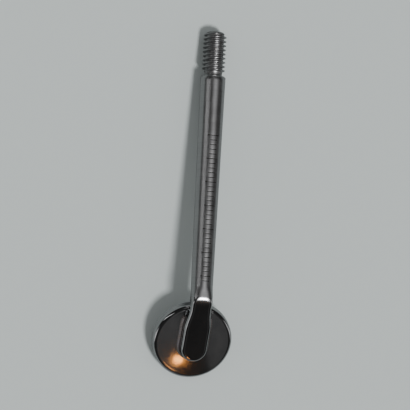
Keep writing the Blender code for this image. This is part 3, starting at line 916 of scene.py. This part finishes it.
def weld_metal():
    """Remelted steel: rippled, duller and tinted by heat between the spots."""
    paint = Paint("weld_metal", (0.45, 0.42, 0.40), 1.0, 0.36)
    ripple = paint.mask("ripple")
    clouds = paint.noise(1500.0, detail=4.0)
    fine = paint.noise(16000.0, detail=4.0, roughness=0.65)
    colour = paint.mix_colour(paint.range(clouds, 0.3, 0.7), (0.46, 0.40, 0.36), (0.47, 0.44, 0.47))
    in_gap = paint.math("SUBTRACT", 1.0, paint.range(ripple, 0.0, 0.6))
    colour = paint.mix_colour(paint.times(in_gap, 0.7), colour, (0.20, 0.16, 0.15))
    roughness = paint.range(fine, 0.3, 0.7, 0.28, 0.46)
    normal = paint.bump(fine, 0.004 * MM, 0.5)
    return paint.finish(colour, roughness, normal)


def cup_steel():
    """Drawn and polished steel: rings from the polishing lap, fine scratches and a heat tint."""
    paint = Paint("polished_steel", (0.60, 0.60, 0.61), 1.0, 0.12)
    heat = paint.mask("heat")
    flat_place = paint.stretch((1.0, 1.0, 0.0))
    radius = paint.node("ShaderNodeVectorMath", operation="LENGTH")
    paint.put(radius.inputs[0], flat_place)
    by_radius = paint.node("ShaderNodeCombineXYZ")
    paint.put(by_radius.inputs["X"], radius.outputs["Value"])
    rings = paint.noise(26000.0, detail=2.0, vector=by_radius.outputs[0])
    clouds = paint.noise(520.0, detail=4.0, distortion=0.4)
    smears = paint.noise(1.0, detail=3.0, vector=paint.stretch((900.0, 260.0, 900.0), (0, 0, 0.6)))
    scratches = paint.scratches(38000.0, (0.1, 0.9, 1.9, -0.6), upright=0.05)

    tone = paint.range(clouds, 0.3, 0.7)
    colour = paint.mix_colour(tone, (0.54, 0.545, 0.555), (0.63, 0.63, 0.635))
    tint_place = paint.times(heat, paint.range(clouds, 0.2, 0.8, 0.75, 1.1), clamp=True)
    colour = paint.mix_colour(paint.times(tint_place, 0.8), colour,
                              paint.ramp(tint_place, HEAT_STOPS))
    roughness = paint.range(smears, 0.35, 0.7, 0.08, 0.11)
    roughness = paint.plus(roughness, scratches, 0.08)
    roughness = paint.plus(roughness, heat, 0.03)
    height = paint.math("SUBTRACT", rings, paint.times(scratches, 0.3))
    normal = paint.bump(height, 0.00006 * MM, 0.4)
    return paint.finish(colour, roughness, normal)


def mirror_metal():
    """Vacuum-deposited mirror layer, nearly flawless, with a few dust specks and hairlines."""
    paint = Paint("mirror_metal", (0.80, 0.80, 0.82), 1.0, 0.02)
    specks = paint.range(paint.noise(9000.0, detail=1.0), 0.74, 0.78)
    hairlines = paint.scratches(5000.0, (0.4, -1.1))
    smear = paint.noise(420.0, detail=3.0)
    colour = paint.mix_colour(paint.times(specks, 0.5), (0.80, 0.80, 0.82),
                              (0.55, 0.55, 0.56))
    roughness = paint.range(smear, 0.45, 0.8, 0.015, 0.05)
    roughness = paint.plus(roughness, specks, 0.15)
    roughness = paint.plus(roughness, hairlines, 0.06)
    normal = paint.bump(hairlines, 0.0003 * MM, 0.3)
    return paint.finish(colour, roughness, normal)


def ground_glass():
    """Clear glass with a faint green cast; its ground edge scatters a little."""
    paint = Paint("ground_glass", (0.86, 0.93, 0.90), 0.0, 0.06)
    paint.shader.inputs["Transmission Weight"].default_value = 0.85
    paint.shader.inputs["IOR"].default_value = 1.52
    grain = paint.noise(22000.0, detail=3.0)
    colour = paint.mix_colour(paint.noise(900.0), (0.84, 0.92, 0.89), (0.89, 0.95, 0.92))
    roughness = paint.range(grain, 0.3, 0.7, 0.04, 0.14)
    return paint.finish(colour, roughness, paint.bump(grain, 0.0008 * MM, 0.3))


def edge_sealant():
    """Cured dark sealant with a skin that isn't quite even."""
    paint = Paint("cured_sealant", (0.22, 0.22, 0.23), 0.0, 0.34)
    grain = paint.noise(8000.0, detail=4.0)
    colour = paint.mix_colour(grain, (0.17, 0.17, 0.18), (0.28, 0.28, 0.29))
    roughness = paint.range(grain, 0.3, 0.7, 0.26, 0.44)
    return paint.finish(colour, roughness, paint.bump(grain, 0.004 * MM, 0.4))


def cured_cement():
    """Matt, off-white cement with fine pores."""
    paint = Paint("cured_cement", (0.78, 0.76, 0.70), 0.0, 0.62)
    paint.place = paint.node("ShaderNodeTexCoord").outputs["Object"]
    pores = paint.noise(12000.0, detail=5.0, roughness=0.7)
    colour = paint.mix_colour(pores, (0.70, 0.68, 0.62), (0.82, 0.80, 0.75))
    roughness = paint.range(pores, 0.3, 0.7, 0.52, 0.72)
    return paint.finish(colour, roughness, paint.bump(pores, 0.006 * MM, 0.5))


def floor_paper():
    """Plain pale paper under the object, darker where the metal mirrors it: painted shade on the
    metal's flanks.
    """
    paint = Paint("pale_paper", FLOOR_COLOUR, 0.0, 0.9)
    fibre = paint.noise(900.0, detail=5.0, roughness=0.6)
    light = [value * 1.012 for value in FLOOR_COLOUR]
    dark = [value * 0.988 for value in FLOOR_COLOUR]
    paint.shader.inputs["Specular IOR Level"].default_value = 0.0
    # Glossy rays see the paper darker: a painted shade on the metal's flanks.
    in_mirror = paint.node("ShaderNodeLightPath").outputs["Is Glossy Ray"]
    shaded_in_metal = [value * FLOOR_IN_METAL for value in FLOOR_COLOUR]
    return paint.finish(paint.mix_colour(in_mirror, paint.mix_colour(fibre, dark, light), shaded_in_metal))


# ---- stage, light and camera

CAMERA_SIDE_ANGLE = math.radians(13.0)
CAMERA_ROLL = math.radians(4.8)
CAMERA_DISTANCE = 0.35
CAMERA_LENS = 290.0
CAMERA_BACK = Vector((-math.sin(CAMERA_SIDE_ANGLE), 0.0, math.cos(CAMERA_SIDE_ANGLE)))
CAMERA_PLACE = (cad_low + cad_high) / 2 + CAMERA_BACK * CAMERA_DISTANCE

# The floor, and how bright it looks in the metal's reflections, where it is darker as painted shade
# on the metal's flanks.
FLOOR_COLOUR = (0.67, 0.73, 0.72)
FLOOR_HALF_SIDE = 0.6
FLOOR_IN_METAL = 0.4

# The key, the world's light in reflections and on matt things, and how much brighter the panels
# make the floor.
KEY_STRENGTH = 2.1
KEY_ANGLE = math.radians(12.0)
KEY_BEND_SHARE = 0.55
AMBIENT = 0.02
FILL = 0.24
PANELS_ON_FLOOR = 1.08
LAMP_DISTANCE = 0.8

# The warm glint's place on the cup's back in the mirror frame, and the lamp that makes it.
GLINT_X = -1.25 * MM
GLINT_Y = -2.1 * MM
WARM_LAMP_SIZE = 0.026
WARM_LAMP_RADIANCE = 12.0
WARM_LAMP_COLOUR = (1.0, 0.37, 0.07)

# Two dim cards side by side, which the cup's back mirrors where it leans by this slope.
CARD_TILT = 0.066
CARD_WIDTH = 0.10
CARD_LENGTH = 0.5
CARD_RADIANCE = 0.045


def reflected(place, normal):
    """Direction from which light reaches the camera off a surface at a place."""
    to_camera = (CAMERA_PLACE - place).normalized()
    return 2.0 * normal.dot(to_camera) * normal - to_camera


def key_direction():
    """Where the key stands for its highlight to lie across the bend."""
    turn = Matrix.Rotation(KEY_BEND_SHARE * BEND_ANGLE, 3, "X")
    return reflected(STEM_FRAME.translation, turn @ STEM_FRAME.to_3x3().col[2])


def back_reflects(x, y, slope_x, slope_y):
    """Direction that the cup's back mirrors to the camera where it leans by these slopes."""
    normal = MIRROR_FRAME.to_3x3() @ Vector((slope_x, slope_y, 1.0))
    return reflected(MIRROR_FRAME @ Vector((x, y, 0.0)), normal.normalized())


def make_floor():
    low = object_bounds()[0]
    points = []
    for x, y in ((-1, -1), (1, -1), (1, 1), (-1, 1)):
        points.append((x * FLOOR_HALF_SIDE, y * FLOOR_HALF_SIDE, 0.0))
    place = Matrix.Translation((0.0, 0.0, min(low.z, 0.0)))
    floor = add_mesh("floor", points, [(0, 1, 2, 3)], place)
    floor.data.materials.append(floor_paper())


def aim(thing, direction, distance, place):
    """Put a lamp at a direction and distance from a place, and turn it towards it."""
    back = Vector(direction).normalized()
    thing.location = place + back * distance
    thing.rotation_mode = "QUATERNION"
    thing.rotation_quaternion = back.to_track_quat("Z", "Y")


def add_lamp(name, kind, direction, place):
    """Lamp that lights the object from a direction and isn't seen by the camera itself."""
    data = bpy.data.lights.new(name, kind)
    lamp = bpy.data.objects.new(name, data)
    bpy.context.scene.collection.objects.link(lamp)
    aim(lamp, direction, LAMP_DISTANCE, place)
    lamp.visible_camera = False
    return data


def add_panel(name, direction, width, length, radiance, colour=(1.0, 1.0, 1.0), place=None):
    """Soft rectangular panel that looks equally bright whatever its size."""
    data = add_lamp(name, "AREA", direction, place or Vector((0.0, 0.0, 0.0)))
    data.shape = "RECTANGLE"
    data.size = width
    data.size_y = length
    data.energy = radiance * math.pi * width * length
    data.color = colour


# Soft panels: name, direction in which one stands, width, length and radiance.
PANELS = (
    ("overhead", (0.22, 0.40, 0.89), 0.85, 0.30, 0.2),
    ("left_strip", (-0.76, 0.22, 0.61), 0.10, 0.60, 1.1),
    ("left_side", (-0.90, -0.40, 0.24), 0.30, 0.40, 0.6),
    ("right_side", (0.94, -0.20, 0.26), 0.25, 0.60, 0.5),
    ("behind", (0.10, 0.95, 0.30), 0.60, 0.25, 0.4),
)


def make_lights():
    """A soft key, wide panels, two dim cards for the cup's back, and the lamp for its glint."""
    key = add_lamp("key", "SUN", key_direction(), STEM_FRAME.translation)
    key.energy = KEY_STRENGTH
    key.angle = KEY_ANGLE
    for name, direction, width, length, radiance in PANELS:
        add_panel(name, direction, width, length, radiance)
    cup_centre = MIRROR_FRAME.translation
    for name, tilt in (("left_card", -CARD_TILT), ("right_card", CARD_TILT)):
        add_panel(name, back_reflects(0.0, 0.0, tilt, 0.0), CARD_WIDTH, CARD_LENGTH,
                  CARD_RADIANCE, place=cup_centre)
    glint = MIRROR_FRAME @ Vector((GLINT_X, GLINT_Y, 0.0))
    towards_lamp = back_reflects(GLINT_X, GLINT_Y, GLINT_X / CUP_DOME_RADIUS,
                                 GLINT_Y / CUP_DOME_RADIUS)
    add_panel("warm_lamp", towards_lamp, WARM_LAMP_SIZE, WARM_LAMP_SIZE, WARM_LAMP_RADIANCE,
              WARM_LAMP_COLOUR, glint)


def make_world():
    """Dark surroundings in the metal, a soft fill on matt things, and a plain pale backdrop."""
    world = bpy.data.worlds.new("studio")
    world.use_nodes = True
    bpy.context.scene.world = world
    tree = world.node_tree
    tree.nodes.clear()
    path = tree.nodes.new("ShaderNodeLightPath")
    light_on_floor = KEY_STRENGTH * key_direction().z / math.pi + FILL
    backdrop = light_on_floor * PANELS_ON_FLOOR
    white = (1.0, 1.0, 1.0)
    shown = None
    for colour, strength, ray in ((white, AMBIENT, None), (white, FILL, "Is Diffuse Ray"),
                                  (FLOOR_COLOUR, backdrop, "Is Camera Ray")):
        background = tree.nodes.new("ShaderNodeBackground")
        background.inputs["Color"].default_value = (*colour, 1.0)
        background.inputs["Strength"].default_value = strength
        if ray is None:
            shown = background.outputs[0]
            continue
        choose = tree.nodes.new("ShaderNodeMixShader")
        tree.links.new(path.outputs[ray], choose.inputs[0])
        tree.links.new(shown, choose.inputs[1])
        tree.links.new(background.outputs[0], choose.inputs[2])
        shown = choose.outputs[0]
    output = tree.nodes.new("ShaderNodeOutputWorld")
    tree.links.new(shown, output.inputs["Surface"])


def make_camera():
    """Look down on the mirror from a little to the left, with the thread at the top."""
    data = bpy.data.cameras.new("camera")
    data.lens = CAMERA_LENS
    data.sensor_width = 36.0
    data.clip_start = 0.01
    data.clip_end = 20.0
    camera = bpy.data.objects.new("camera", data)
    bpy.context.scene.collection.objects.link(camera)
    level_up = Vector((0.0, 1.0, 0.0))
    level_right = level_up.cross(CAMERA_BACK)
    right = level_right * math.cos(CAMERA_ROLL) + level_up * math.sin(CAMERA_ROLL)
    upward = CAMERA_BACK.cross(right)
    pose = Matrix((right, upward, CAMERA_BACK)).transposed().to_4x4()
    pose.translation = CAMERA_PLACE
    camera.matrix_world = pose
    bpy.context.scene.camera = camera


# ---- put together

def place_piece(piece, material, node):
    """Give a piece its material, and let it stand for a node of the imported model."""
    piece.data.materials.append(material)
    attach(piece, "root")
    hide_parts(node)


def main():
    place_piece(make_stem(), stem_steel(), "threaded_stem")
    place_piece(make_weld(), weld_metal(), "weld_bead")
    place_piece(make_cup(), cup_steel(), "mirror_cup")
    place_piece(make_glass(), ground_glass(), "mirror_glass")
    place_piece(make_coating(), mirror_metal(), "rhodium_coating")
    place_piece(make_seal(), edge_sealant(), "edge_seal")
    cement = frame["nodes"]["cement_bed"]
    cement.data.materials.clear()
    cement.data.materials.append(cured_cement())

    make_floor()
    make_world()
    make_lights()
    make_camera()


main()
